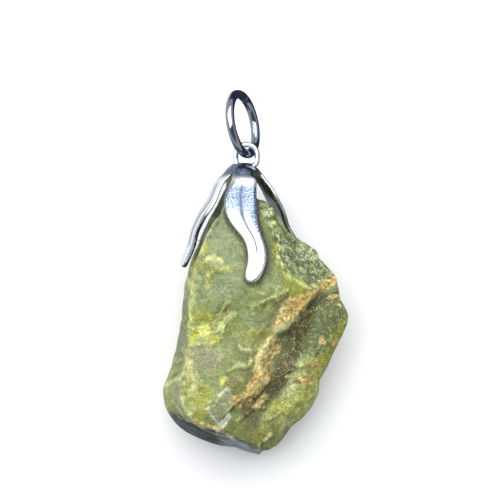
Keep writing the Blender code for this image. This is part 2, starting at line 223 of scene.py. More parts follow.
# broken edges on the front: points, drop in mm, and how far back the raised side fades away;
# the raised side is on the left of the line's direction
brokenEdges = [
    ([(-0.9, -4), (1.4, -3.4), (2.8, -3.1), (4, -1.9)], 0.34, 3),
    ([(-6.3, -1.9), (-5.8, 0), (-5.1, 0.5), (-3.6, 0.7), (-2.8, 1.1)], 0.36, 2.4),
    ([(7.4, -1.8), (4.1, 0), (3.2, 2.1), (3.1, 5.4), (2.2, 7.6)], 0.45, 3),
    ([(-5, -5.7), (-4.5, -4.9), (-3.5, -3.8)], 0.32, 1.8),
    ([(-4.2, 1.7), (-5.3, 2.3), (-6.4, 1.6)], 0.35, 1.6),
    ([(11.2, -3.6), (8.6, -4.4), (6.2, -5.6), (4.9, -7.9), (4.6, -9.6)], 0.22, 2.6),
    ([(3.2, -13.2), (5, -12.2), (8.5, -10.9)], 0.35, 2.2),
    ([(2, -19.7), (4.5, -18.4), (7.5, -16.9)], 0.40, 2.4),
    ([(-9, -9.4), (-6, -9.1), (-4.7, -8.2), (-3.7, -6.6)], 0.30, 1.6),
    ([(-3.5, -13), (-1.4, -12.2), (-0.2, -10.3)], 0.25, 1.6),
    ([(-8.6, -15.4), (-7.4, -14.2), (-7.6, -12.2)], 0.25, 1.4),
    ([(-2.6, -19.4), (-0.6, -18), (1.6, -17.4)], 0.30, 1.8),
]


# ridge, valley, ledge, dish and broken edges, as a height to add to the front of the stone, and
# where the rims of the broken edges are
def frontRelief(x, y, warp):
    beside, beyond, lowEnd, highEnd = stone["valleyFades"]
    _, crust = lineDistance(x, y, stone["crustLine"])
    low = smoothStep(*beside, crust) * smoothStep(*beyond, crust)
    end = smoothStep(*lowEnd, y) * smoothStep(*highEnd, x)
    relief = -stone["valleyDepth"] * low * end
    relief += stone["crustRise"] * np.exp(-(crust / stone["crustWidth"]) ** 2)

    sides, brow, back = stone["ledgeFades"]
    deep, away, width = stone["ledgeGroove"]
    _, ledge = lineDistance(x, y + 0.5 * warp, stone["ledgeLine"])
    near = smoothStep(*sides, np.abs(x - stone["ledgeX"]))
    relief += stone["ledgeRise"] * near * smoothStep(*brow, -ledge) * smoothStep(*back, -ledge)
    relief -= deep * near * np.exp(-((ledge - away) / width) ** 2)

    cx, cy = stone["dishCentre"]
    dish = np.hypot(x - cx, y - cy) / stone["dishRadius"]
    relief -= stone["dishDepth"] * np.clip(1 - dish ** 2, 0, None)

    rim = np.zeros(len(x))
    away, width = stone["edgeRim"]
    for line, drop, back in brokenEdges:
        _, gap = lineDistance(x + warp, y - warp, line)
        fade = 1 - smoothStep(-stone["edgeFade"], stone["edgeFade"], pastEnds(x, y, line))
        raised = smoothStep(*stone["edgeStep"], gap) * np.exp(-np.clip(gap, 0, None) / back)
        relief += drop * fade * (raised - 0.5 * np.exp(-np.abs(gap) / back))
        rim = np.maximum(rim, fade * np.exp(-(((gap - away) / width) ** 2)))
    return relief, rim


# distance of the surface from the centre along each direction: the nearest of all the broken
# faces and the leaning outline wall, rounded where they meet by a high power mean
def stoneReach(d, angle):
    centre = np.array(stone["centre"])
    power = stone["edgePower"]
    total = np.zeros(len(d))
    for corners in stone["faces"]:
        a, b, c = [np.array(p) - centre for p in corners]
        normal = np.cross(b - a, c - a)
        normal /= np.linalg.norm(normal)
        height = normal @ a
        normal *= np.sign(height)
        total += (np.clip(d @ normal, 0, None) / abs(height)) ** power
    rim = np.array(stone["outline"]) - centre[:2]
    rimAngle = np.degrees(np.arctan2(rim[:, 1], rim[:, 0])) % 360
    order = np.argsort(rimAngle)
    rho = np.interp(angle, rimAngle[order], np.hypot(rim[:, 0], rim[:, 1])[order], period=360)
    flat = np.hypot(d[:, 0], d[:, 1])
    lift = np.interp(angle, stone["wallAngle"], stone["wallHeight"]) - centre[2]
    up = np.interp(angle, stone["wallAngle"], stone["wallLeanUp"])
    down = np.interp(angle, stone["wallAngle"], stone["wallLeanDown"])
    upper = np.clip(flat + up * d[:, 2], 0, None) / (rho + up * lift)
    lower = np.clip(flat - down * d[:, 2], 0, None) / (rho - down * lift)
    total += np.maximum(upper, lower) ** power
    return total ** (-1 / power)


# directions from the middle of a box, through a grid of cells on each of its six sides
def boxDirections(cells, halfSize):
    side = np.arange(cells + 1)
    a, b = np.meshgrid(side, side, indexing="ij")
    low = np.zeros_like(a)
    high = np.full_like(a, cells)
    sheets = [(high, a, b), (low, b, a), (b, high, a), (a, low, b), (a, b, high), (b, a, low)]
    ids = np.stack([(i * (cells + 1) + j) * (cells + 1) + k for i, j, k in sheets])
    unique, index = np.unique(ids, return_inverse=True)
    index = index.reshape(ids.shape)
    quads = np.stack(
        [index[:, :-1, :-1], index[:, 1:, :-1], index[:, 1:, 1:], index[:, :-1, 1:]], axis=-1
    ).reshape(-1, 4)
    k = unique % (cells + 1)
    j = unique // (cells + 1) % (cells + 1)
    i = unique // (cells + 1) ** 2
    box = np.tan((np.stack([i, j, k], axis=1) / cells * 2 - 1) * math.pi / 4)
    box = box / np.linalg.norm(box, axis=1)[:, None] * np.array(halfSize)
    return box / np.linalg.norm(box, axis=1)[:, None], quads


# what is painted on the stone, by mask and shape: the width of a line and the softness of the
# edge, in mm, and x and y of each point; right is all that lies on the right of the line
paint = {
    # the steep strip on the left side is painted darker as shade
    ("shadedStrip", "right"): [(0, 0.2, [-8, 2.1, -8.5, 0.1, -8.5, -4.8, -8.8, -7.1, -9.4, -8.3,
        -9.6, -10.8, -9.6, -13.2, -9.7, -18.9])],
    ("stripLow", "area"): [(0, 0.9, [-9.9, -11, -9.9, -18.6, -13, -19, -13.4, -12.5,
        -11.4, -10.5])],
    # the bottom facet is painted dark as shade, with a paler right-hand end
    ("shadedFacet", "right"): [(0, 0.14, [-11.4, -18, -9.8, -18.75, -7, -19.5, -4.8, -20, -2.6, -21.3,
        -0.6, -22.5, 1, -23.1, 1.9, -23.9])],
    ("shadedFacetPale", "area"): [(0, 1.6, [-3.6, -20.4, 2.5, -23, 2.5, -25.5, -5.5, -25.5])],
    ("shady", "area"): [(0, 2, [-8.2, 2.6, -5.4, 8.4, -3.4, 8.6, -3, 4, -0.6, -0.4, -3, -2.4,
        -6.8, -1.8])],
    # a brown stain near the bottom edge
    ("brownStainAndShade", "area"): [(0, 1.2, [-4, -19.4, 0.5, -20, 2.5, -19, 3.4, -21.6, 1.2, -23.6,
        -2, -22.2])],
    ("dark", "area"): [(0, 0.7, [2.9, 6.2, 4.3, 6, 8.4, 4.2, 10.4, 2.1, 11.4, -0.2, 8.8, -1,
        7.3, -1.7, 5.8, -0.4, 4.1, 0.4, 3.2, 2.1])],
    ("dark", "line"): [
        (2, 0.8, [1.2, 10, 3, 7.4, 4, 5.6]),
        (0.9, 0.6, [3.3, 4.6, 4, 2.6]),
    ],
    ("lime", "area"): [(0, 0.6, [3.8, 0.1, 5.8, -0.6, 7.3, -1.9, 6.8, -2.4, 4.8, -3.1, 4.1, -1.9])],
    ("lime", "line"): [
        (0.2, 0.6, [2.6, 4.4, 2.9, 1.8, 4.2, 0.3]),
        (0.8, 1.2, [10.4, -9.6, 9, -12, 8.2, -13.6]),
        (0.6, 1.2, [11.6, -6.4, 10.9, -8.4]),
        (0.3, 1.2, [-7.8, 1.6, -6.4, 1, -5.8, 0.2]),
        # this lime line along a broken edge is a painted highlight
        (0.1, 0.5, [-5.8, -0.9, -5.7, 0.1, -5.1, 0.5, -3.6, 0.7, -2.8, 1.1]),
    ],
    # brown lines of painted shade below broken edges and beside the crust
    ("brownStainAndShade", "line"): [
        (0.5, 1.3, [4.2, -2.2, 2.8, -4.4, 1.2, -6.4, 0.4, -8.4]),
        (0.3, 0.8, [-4.8, -5.3, -3.6, -4.1]),
        (0.4, 1.6, [-1.8, -10.4, -0.6, -10.9, -1.4, -13.4, -3.4, -14.6]),
    ],
    ("crust", "area"): [
        (0, 0.55, [10.6, 0.3, 11.1, -0.7, 10.4, -1.3, 9.3, -1.3, 8.4, -2.6, 7, -3.5, 6.1, -4.4,
            5.6, -5.9, 3.9, -6.7, 2.2, -7.2, 2.6, -5.5, 4.4, -3.3, 6.2, -2.4, 7.6, -1.7,
            8.9, -0.5]),
        (0, 0.5, [1.8, -8.1, 3.1, -8.4, 3, -9.9, 1.9, -11.6, 1.3, -13, 1, -14, 0.4, -14, -0.1, -13,
            -0.3, -11.5, 0.4, -9.5]),
    ],
    ("crust", "line"): [
        (1, 0.6, [1.1, -13, 0.4, -14.2, -0.6, -15.2]),
        (1.2, 0.6, [-1, -15.7, -1.6, -16.4, -2.4, -16.8]),
        (0.5, 0.6, [6.9, -13.8, 7, -14.1]),
        (0.3, 0.5, [5.6, -13.5, 5.8, -13.7]),
        (0.1, 0.4, [4, -13.4, 4.2, -13.3]),
        (0.2, 0.5, [8.7, -8.4, 8.8, -9]),
        (0.2, 0.5, [10.2, -9, 10.5, -8.8]),
        (0.1, 0.6, [7.4, -12.4, 8, -11.9]),
        (0.2, 0.5, [1.2, -16.2, 0.6, -16.8, 0, -17.4]),
        (0.2, 0.7, [10.4, -3.2, 11, -3.5]),
        (0, 0.4, [-8, -19, -6.5, -19.3, -4.6, -20]),
    ],
    ("creamy", "area"): [(0, 0.5, [1.7, -8.2, 2.4, -8.6, 2, -10, 0.9, -12.6, -0.1, -12.4,
        -0.2, -11.4, 0.5, -9.6])],
    ("rust", "line"): [
        (0.4, 0.9, [0.9, -13.2, 0.4, -14.2, -0.9, -15.6, -2.1, -16.5]),
        (0.4, 0.9, [7.4, -2.6, 5.8, -3.6, 4.9, -4.2]),
        (0.3, 0.8, [6.9, -13.8, 7, -14.1]),
    ],
    # painted shade in the valleys beside and below the crust
    ("valley", "line"): [
        (0.4, 1, [10.7, -2.9, 8.3, -3.5, 6.2, -5, 4.6, -7]),
        (1.3, 1.3, [5.4, -6, 4.9, -8.3, 4.2, -10.8, 3.2, -13, 1.9, -15, 0.4, -16.8, -0.9, -18.4]),
    ],
    ("shade", "line"): [
        (0.6, 1, [4, -2.4, 2.9, -4, 1.8, -5.8]),
        (0.5, 1.3, [-2.2, -9.6, -1.2, -11.8]),
        (0.6, 1, [-0.6, -14.5, -0.7, -17.2]),
        (0.5, 1, [1.2, 4.4, 1.6, 2.2, 1.5, 0.6]),
        (0.3, 1, [3.9, 5.6, 5, 4.4, 5, 3.4]),
        (0.5, 0.8, [7.6, 0.5, 9.3, -0.5]),
        (1.2, 1.5, [6.2, -6.9, 8.6, -7.6]),
    ],
    # painted shadow on the stone in the gap between the left and front prong and along the left
    # prong
    ("hollow", "line"): [
        (0.6, 0.6, [-3.1, 12.4, -4, 11, -4.6, 9.6, -5.3, 7.6]),
        (0.2, 0.55, [-5.3, 7.6, -6.4, 5.4, -7.4, 3.6, -8.1, 2.5]),
    ],
    ("olive", "area"): [(0, 1.5, [11, -1.8, 12.6, -5.5, 11, -9.2, 8.2, -12, 5, -11.4, 4.4, -7,
        6.6, -4.6])],
    # the lower right lobe is paler: partly its own colour, partly painted light on slopes facing
    # away from the lamp
    ("lift", "area"): [(0, 1.5, [3.4, -13.6, 5.2, -11.8, 9, -10.6, 9.6, -14, 8, -17.6, 4.5, -20.6,
        1.5, -22.6, 0.6, -20, 2.2, -17])],
    ("yellow", "area"): [(0, 0.65, [-8.8, -7.4, -7.3, -7.1, -6, -6.9, -5.3, -7.6, -5.5, -8.5,
        -6.9, -8.3, -7.6, -8.8, -8.6, -9.2])],
    ("acid", "line"): [
        (0.6, 0.6, [-8.3, -8, -8, -8.8]),
        (0.2, 0.5, [-6, -8.2, -5.3, -8.3]),
    ],
    # painted highlight along the rims of broken edges
    ("rim", "line"): [
        (0.4, 0.7, [-6.2, -7.2, -5, -6.9, -4.2, -5.9, -3.6, -5]),
        (0.15, 0.8, [-8.3, 1.4, -8.5, -1, -8.4, -4.4, -8.5, -6.6]),
        (0.1, 0.7, [-9.3, -9.8, -9.3, -13, -9.4, -18]),
        (0.3, 0.7, [-11.9, -14.6, -11.2, -12.8, -10.7, -11.2]),
    ],
    ("creamy", "line"): [
        (0.1, 0.9, [-8.5, -12, -8.2, -14.9]),
        (0, 0.35, [-2.1, -9.3, -1.7, -9.75, -0.6, -9.7]),
        # this creamy line along a small ledge is a painted highlight
        (0, 0.45, [-6.3, 1.9, -5.3, 2.15, -4.5, 1.9]),
        (0.1, 0.4, [3.9, -19.4, 4.3, -19.3]),
        (0.05, 0.5, [1.1, -21.6, 1.9, -20.9]),
    ],
    ("moss", "line"): [
        (0.3, 1.2, [-8, 2.9, -6.8, 3.3]),
        (0.6, 1.4, [-8, -5.4, -6.8, -5.6, -5.8, -6.2]),
        (0.4, 1.6, [1.2, -7.2, 0.2, -8.2]),
        (0.8, 1.4, [-8.3, -15.6, -6.6, -15.9, -7.6, -18.2]),
        (1.4, 2, [3.1, -17.9, 5.8, -17.2, 7.6, -15.4]),
        (0.8, 1.4, [7.6, -12, 8.9, -11.6]),
        (0.8, 1.6, [0.6, -21.4, 2, -20.4]),
    ],
    ("yellow", "line"): [(0, 0.7, [-4.4, -14.3, -4.1, -13.6])],
    ("mauve", "line"): [(1.4, 1.4, [-8.1, -10.2, -6.8, -10.7, -6, -11.2])],
    ("pale", "area"): [(0, 1.8, [-9.3, -9, -3, -8.6, -2.2, -13, -3, -15.6, -9.3, -18.2])],
    ("chip", "area"): [(0, 0.1, [-3.6, -14.6, -3.3, -16.2, -3, -16.7, -3.3, -18.2, -4.8, -20,
        -5.8, -18.2, -6.3, -17.3, -5.4, -16.7, -4.7, -15.6])],
    ("flake", "line"): [
        (0, 0.24, [-3.3, -16.3, -3.4, -15.4, -3.6, -14.6, -4.7, -15.6, -5.4, -16.7, -6.3, -17.3,
            -5.8, -18.2, -5.2, -19.4, -4.8, -20]),
        (0.35, 0.3, [-4.9, -19.9, -4.1, -19.3, -3.5, -18.4]),
    ],
}

# the masks that aren't kept to the front of the stone
allAround = ("shadedStrip", "stripLow", "shadedFacet", "shadedFacetPale")

crustGrains = {"size": 0.62, "seed": 90, "least": 0.1, "spread": 0.75, "between": 0.7}


# the first two coordinates of the points, moved by a noise so that painted edges wander
def wandered(p, amount, size, layers, seed):
    return [p[:, n] + amount * layeredNoise(p, size, layers, seed + 20 * n) for n in (0, 1)]


def paintMasks(p):
    broad = wandered(p, 1.1, 1.7, 4, 40)
    fine = wandered(p, 0.3, 0.8, 3, 41)
    front = smoothStep(5, 8.5, p[:, 2])
    masks = {}
    for (name, shape), patches in paint.items():
        for width, soft, numbers in patches:
            points = np.reshape(numbers, (-1, 2))
            x, y = broad if soft > 0.5 else fine
            if shape == "area":
                amount = smoothStep(-soft, soft, areaDistance(x, y, points))
            elif shape == "line":
                gap, _ = lineDistance(x, y, points)
                amount = 1 - smoothStep(0.5 * width, 0.5 * width + soft, gap)
            else:
                _, gap = lineDistance(x, y, points)
                amount = smoothStep(-soft, soft, -gap)
            if name not in allAround:
                amount = amount * front
            masks[name] = np.maximum(masks.get(name, 0), amount)
    masks["rim"] *= 1 - masks["crust"]

    # the front prong shades the stone close beside it
    beside = []
    for hand in (-1, 1):
        middle = zip(prong["y"], prong["shift"], prong["half"])
        side = [(cap["x"] + s + hand * h, y) for y, s, h in middle]
        beside += side[::-hand]
    gap, _ = lineDistance(p[:, 0], p[:, 1], beside[::-1])
    shaded = 0.8 * (1 - smoothStep(0.1, 0.55, gap)) * front
    masks["hollow"] = np.maximum(masks["hollow"], shaded)

    # the crust is made of grains: a grain is there or not, more seldom away from the line
    size, own = scattered(p, crustGrains["size"], crustGrains["seed"])
    chance = masks["crust"] - crustGrains["least"] - crustGrains["spread"] * own
    grains = smoothStep(-0.12, 0.12, chance)
    filled = crustGrains["between"] * masks["crust"]
    masks["crustGrains"] = np.maximum(grains * smoothStep(0.8, 0.3, size), filled)
    masks["grainTone"] = own
    return masks, grains * np.clip(0.5 - size, 0, None)


# how far each point stands out from the mean of its neighbours, in mm, along the given direction
def standOut(p, quads, direction, rounds):
    edges = np.concatenate([quads[:, [0, 1]], quads[:, [1, 2]]])
    count = np.zeros(len(p))
    for a in (0, 1):
        np.add.at(count, edges[:, a], 1)
    mean = p.copy()
    for _ in range(rounds):
        total = np.zeros_like(p)
        for axis in range(3):
            total[:, axis] += np.bincount(edges[:, 0], mean[edges[:, 1], axis], len(p))
            total[:, axis] += np.bincount(edges[:, 1], mean[edges[:, 0], axis], len(p))
        mean = total / count[:, None]
    return ((p - mean) * direction).sum(axis=1)


def makeStone():
    cells = stone["cells"]
    direction, quads = boxDirections(cells, stone["halfSize"])
    centre = np.array(stone["centre"])
    angle = np.degrees(np.arctan2(direction[:, 1], direction[:, 0])) % 360
    p = centre + direction * stoneReach(direction, angle)[:, None]
    warp = 0.9 * layeredNoise(p, 2.4, 3, 30)
    cross = 0.9 * layeredNoise(p, 2.4, 3, 34)
    front = smoothStep(*stone["frontHeight"], p[:, 2])
    relief, rim = frontRelief(p[:, 0], p[:, 1], warp)
    p[:, 2] += front * relief

    # the sides have shallow scars: two slanting sets of waves, each |sin| of a sum of coordinates
    widest = np.interp(angle, stone["wallAngle"], stone["wallHeight"])
    away = smoothStep(0.4, 2.4, np.abs(p[:, 2] - widest)) * smoothStep(0.1, 1.6, p[:, 2])
    first = np.abs(np.sin(0.36 * p[:, 1] + 0.27 * p[:, 2] + 0.2 * p[:, 0]))
    second = np.abs(np.sin(0.33 * p[:, 0] - 0.31 * p[:, 2] + 0.19 * p[:, 1] + 1))
    side = away * (1 - smoothStep(*stone["sideHeight"], p[:, 2]))
    p -= direction * (side * stone["sideScar"] * (first + second))[:, None]

    # bowls, grain and crust, all measured along the direction from the centre
    masks, beads = paintMasks(p)
    # the rims of the broken edges get a painted highlight
    masks["rim"] = np.maximum(masks["rim"], rim * front)
    bent = p + np.stack([warp, cross, -warp], axis=1) * 0.8
    rough = np.zeros(len(p))
    for size, depth, seed in stone["bowls"]:
        near, _ = scattered(bent, size, seed)
        rough -= depth * np.clip(0.7 - near, 0, None)
    rough *= (0.3 + 0.7 * away) * (1 - 0.5 * masks["shadedFacet"])
    coarse = 1 + 1.6 * masks["dark"] + 1.3 * masks["olive"] + masks["valley"] + masks["crust"]
    rough += stone["grain"] * layeredNoise(p, 0.8, 3, 20) * coarse * (1 - 0.7 * masks["shadedFacet"])
    rough += stone["crustGrain"] * beads
    rough += stone["chipRise"] * masks["chip"]
    rough *= smoothStep(0, 0.8, p[:, 2])
    p += direction * rough[:, None]

    # what would reach below the table is drawn back to it
    under = p[:, 2] < 0
    p[under] = centre + (p[under] - centre) * (centre[2] / (centre[2] - p[under, 2]))[:, None]
    # brows get a painted highlight and clefts painted shade, by how far each point stands out
    out = standOut(p, quads, direction, 3)
    masks["brow"] = smoothStep(*stone["brow"], out)
    masks["cleftShade"] = smoothStep(*stone["cleftShade"], -out)
    lively = sum(part * masks[name] for name, part in stone["speckled"].items())
    masks["lively"] = np.clip(lively, 0, 1)
    obj = newMesh("opalStone", p + shift, quads)
    storeMasks(obj, masks)
    print("stone", len(quads) * 2, "triangles")
    return obj


cap = {
    "x": -1.7,
    "z": 7.5,
    "segments": 36,
    "outside": [(14.15, 0.6), (14.08, 1.15), (13.88, 1.45), (13.63, 1.75), (13.3, 2.15)],
    "rimOutside": 2.62,
    "rimInside": 1.98,
    "rimY": 12.45,
    "rimNotch": 0.033,
    "inside": [(13.1, 1.5), (13.35, 0.95)],
    "squareness": 0.09,
    "smoothing": 2,
    # a prong grows from this many segments on either side of its root
    "rootHalf": 3,
}


def capPoints(y, radius):
    angle = 2 * math.pi * np.arange(cap["segments"]) / cap["segments"]
    spread = radius * (1 - cap["squareness"] * (1 - np.cos(4 * angle)) * 0.5)
    return np.stack(
        [cap["x"] + spread * np.cos(angle), y + 0 * angle, cap["z"] + spread * np.sin(angle)],
        axis=1,
    )


prong = {
    "y": [11.9, 11.35, 10.7, 9.42, 8.13, 7.23, 6.19, 5.16, 4.26, 3.35, 2.32, 1.42, 0.65, -0.13,
          -0.77, -1.16],
    "shift": [0.25, 0.15, -0.07, -0.27, -0.2, -0.04, 0.35, 0.93, 1.47, 1.79, 1.91, 1.88, 1.68,
              1.42, 1.28, 1.2],
    "half": [1.66, 1.68, 1.9, 2.1, 2.13, 2.03, 1.85, 1.56, 1.32, 1.28, 1.23, 1.2, 1.19, 1.12,
             0.9, 0.45],
    "across": [-1, -0.62, -0.12, 0, 0.12, 0.62, 1],
    "thick": 0.58,
    "crown": 0.14,
    "bevel": 0.12,
    "vein": 0.16,
    "veinRings": (2, 11),
    # where the front prong has a sandy patch with a painted dark blue reflection, ring by ring, on
    # its left and right half
    "satinReflectionLeft": [0, 0.5, 1, 1, 0.9, 0.55, 0.2] + [0] * 9,
    "satinReflectionRight": [0, 0.4] + [1] * 6 + [0.9, 0.8, 0.5, 0.2] + [0] * 4,
    # how much of the left prong's upper side is left, ring by ring
    "leftTrim": [0.8, 0.55, 0.42, 0.42, 0.5, 0.62, 0.8] + [1] * 9,
    # how far the left prong's tip bends away from the stone, over its last rings
    "leftBend": [0.08, 0.2, 0.38, 0.55, 0.7],
    # the prongs get painted shade at the foot of the cap's crown and further down
    "edgeShadeFrom": (7.6, 6.6),
    "gap": 0.3,
    "closest": 1.9,
    "feelFrom": 40,
    "easing": 9,
    # segment of the cap that each prong grows from, its hand, length and sway
    "placed": {
        "front": (9, 1, 1, 1),
        "left": (16, -1, 0.87, 0.6),
        "right": (34, 1, 0.84, 0.8),
        "back": (26, 1, 0.92, 1),
    },
}


# the prong's rings of points: an S-shaped leaf laid over the stone with a small gap, a low crown
# across it and a groove along its middle
def prongRings(tree, which):
    root, hand, length, sway = prong["placed"][which]
    yaw = 2 * math.pi * root / cap["segments"]
    out = np.array([math.cos(yaw), 0, math.sin(yaw)])
    across = np.array([-math.sin(yaw), 0, math.cos(yaw)])
    ys = cap["rimY"] - (cap["rimY"] - np.array(prong["y"])) * length
    shifts = -hand * sway * np.array(prong["shift"])
    half = np.array(prong["half"])

    # rays from outside feel how far out the stone reaches under each ring
    far = prong["feelFrom"]
    need = []
    for y, s, h in zip(ys, shifts, half):
        reach = prong["closest"]
        for dy in (-0.5, 0, 0.5):
            for u in (-1, -0.5, 0, 0.5, 1):
                start = np.array([cap["x"], y + dy, cap["z"]]) + across * (s + u * h) + out * far
                hit = tree.ray_cast(Vector((start + shift) * mm), Vector(-out), 2 * far * mm)
                if hit[0] is not None:
                    reach = max(reach, far - hit[3] / mm)
        need.append(reach + prong["gap"])
    need = np.array(need)
    base = need.copy()
    for _ in range(prong["easing"]):
        smooth = base.copy()
        smooth[1:-1] = (base[:-2] + 2 * base[1:-1] + base[2:]) / 4
        base = np.maximum(smooth, need)
    if which == "left":
        base[-len(prong["leftBend"]):] += prong["leftBend"]

    order = np.arange(len(ys))
    before = np.clip(order - 1, 0, None)
    after = np.clip(order + 1, None, len(ys) - 1)
    slope = (base[after] - base[before]) / (ys[after] - ys[before])
    normal = (out - slope[:, None] * np.array([0, 1, 0])) / np.hypot(slope, 1)[:, None]
    u = np.array(prong["across"])
    bevel = np.where(np.abs(u) == 1, prong["bevel"], 0)
    lift = np.tile(prong["thick"] + prong["crown"] * (1 - u * u) - bevel, (len(ys), 1))
    lift[slice(*prong["veinRings"]), u == 0] -= prong["vein"]
    under = np.tile(bevel, (len(ys), 1))
    lift = np.concatenate([lift, under[:, ::-1]], axis=1)
    u = np.concatenate([u, u[::-1]])
    place = np.array([cap["x"], 0, cap["z"]]) + ys[:, None, None] * np.array([0, 1, 0])
    trim = np.array(prong["leftTrim"])[:, None] if which == "left" else 1
    wide = np.where(u < 0, trim, 1) * u
    place = place + (shifts[:, None] + wide * half[:, None])[..., None] * across
    place = place + base[:, None, None] * out
    return place + lift[..., None] * normal[:, None, :], u


# rings of the skin from the neck down to the rim and up again inside, with a prong let into each
# side; two rounds of subdivision make it smooth
def makeCap(tree):
    count = cap["segments"]
    half = cap["rootHalf"]
    roots = [placed[0] for placed in prong["placed"].values()]
    j = np.arange(count)
    away = np.min([np.abs((j - root + count // 2) % count - count // 2) for root in roots], axis=0)
    rimY = cap["rimY"] + cap["rimNotch"] * away * away
    rows = [capPoints(y, radius) for y, radius in cap["outside"]]
    rows += [capPoints(rimY, cap["rimOutside"]), capPoints(rimY, cap["rimInside"])]
    rows += [capPoints(y, radius) for y, radius in cap["inside"]]
    rim = len(cap["outside"])
    faces = bandQuads(len(rows), count).tolist()
    cutOut = {rim * count + (root + k) % count for root in roots for k in range(-half, half)}
    faces = [f for f in faces if f[0] not in cutOut]
    faces.append(list(range(count))[::-1])
    faces.append(list(range((len(rows) - 1) * count, len(rows) * count)))
    points = [np.concatenate(rows)]
    total = len(points[0])
    masks = {name: [np.zeros(total)] for name in ("satinReflection", "edgeShade", "groove", "crownReflection")}
    masks["crownReflection"][0][: (rim + 1) * count] = 1

    for which, (root, *_) in prong["placed"].items():
        rings, u = prongRings(tree, which)
        upper = np.arange(len(u)) < len(u) // 2
        left = np.array(prong["satinReflectionLeft"])[:, None]
        right = np.array(prong["satinReflectionRight"])[:, None]
        satinReflection = np.where(u < -0.2, right, left) * upper * (which == "front")
        deep = np.zeros(len(rings))
        deep[slice(*prong["veinRings"])] = 1
        groove = deep[:, None] * np.interp(np.abs(u), [0, 0.12, 0.62], [1, 0.3, 0]) * upper
        low = smoothStep(*prong["edgeShadeFrom"], np.array(prong["y"]))[:, None]
        edge = low * ((u < -0.9) & (which == "left"))
        inner = ~upper & (u < 0.9) & (which == "right")
        # the first ring of each prong takes some of the crown's painted dark reflection
        crownReflection = np.zeros(satinReflection.shape)
        crownReflection[0] = 0.35
        added = {"satinReflection": satinReflection, "edgeShade": edge + 1 * inner, "groove": groove, "crownReflection": crownReflection}
        for name, values in added.items():
            masks[name].append(values.ravel())

        # the first ring is sewn to the loop that was cut out of the rim
        loop = [rim * count + (root + k) % count for k in range(-half, half + 1)]
        loop += [(rim + 1) * count + (root + k) % count for k in range(half, -half - 1, -1)]
        around = len(u)
        for n in range(around):
            m = (n + 1) % around
            faces.append([loop[n], loop[m], total + m, total + n])
        faces += bandQuads(len(rings), around, total).tolist()
        faces.append([total + (len(rings) - 1) * around + n for n in range(around)])
        points.append(rings.reshape(-1, 3))
        total += len(points[-1])

    obj = newMesh("bailCapSilver", np.concatenate(points) + shift, faces)
    storeMasks(obj, {name: np.concatenate(parts) for name, parts in masks.items()})
    smooth = obj.modifiers.new("smooth", "SUBSURF")
    smooth.levels = cap["smoothing"]
    smooth.render_levels = cap["smoothing"]
    print("cap", len(faces), "faces before smoothing")
    return obj


eye = {
    "x": -1.2,
    "top": 16.5,
    "bottom": 13.72,
    "halfWidth": 1.38,
    "wireAcross": 0.33,
    "wireDeep": 0.36,
    "around": 72,
    "sides": 16,
    # powers that square the corners of the loop, in its upper and its lower half
    "powers": (0.88, 0.5),
}


# a flattened wire along a rounded loop: x = halfWidth cos a, y = tall sin a, each raised to a power
# that squares the corners, and the wire's own oval added across it
def makeEyeLoop():
    a = 2 * math.pi * np.arange(eye["around"]) / eye["around"]
    b = 2 * math.pi * np.arange(eye["sides"]) / eye["sides"]
    middle = (eye["top"] + eye["bottom"]) / 2
    tall = (eye["top"] - eye["bottom"]) / 2
    square = np.where(np.sin(a) > 0, *eye["powers"])
    px = eye["x"] + eye["halfWidth"] * np.sign(np.cos(a)) * np.abs(np.cos(a)) ** square
    py = middle + tall * np.sign(np.sin(a)) * np.abs(np.sin(a)) ** square
    nx = np.cos(a) / eye["halfWidth"]
    ny = np.sin(a) / tall
    size = np.hypot(nx, ny)
    out = eye["wireAcross"] * np.cos(b)
    x = px[:, None] + (nx / size)[:, None] * out
    y = py[:, None] + (ny / size)[:, None] * out
    z = cap["z"] + eye["wireDeep"] * np.sin(b) + 0 * x
    loop = np.stack([x, y, z], axis=-1)
    quads = bandQuads(len(a) + 1, len(b))[:, ::-1] % (len(a) * len(b))
    return newMesh("eyeLoop", loop.reshape(-1, 3) + shift, quads)


jumpRing = {
    "radius": 3.9,
    "wire": 0.575,
    "reach": 2.7,
    "lean": 10,
    "turn": 67,
    "around": 160,
    "sides": 32,
    # the seam's place and the half span of its finer rows, in degrees, and their number
    "seamAt": -28,
    "seamSpan": 2,
    "seamRows": 9,
    "seamDepth": 0.05,
    "seamWidth": 0.05,
}


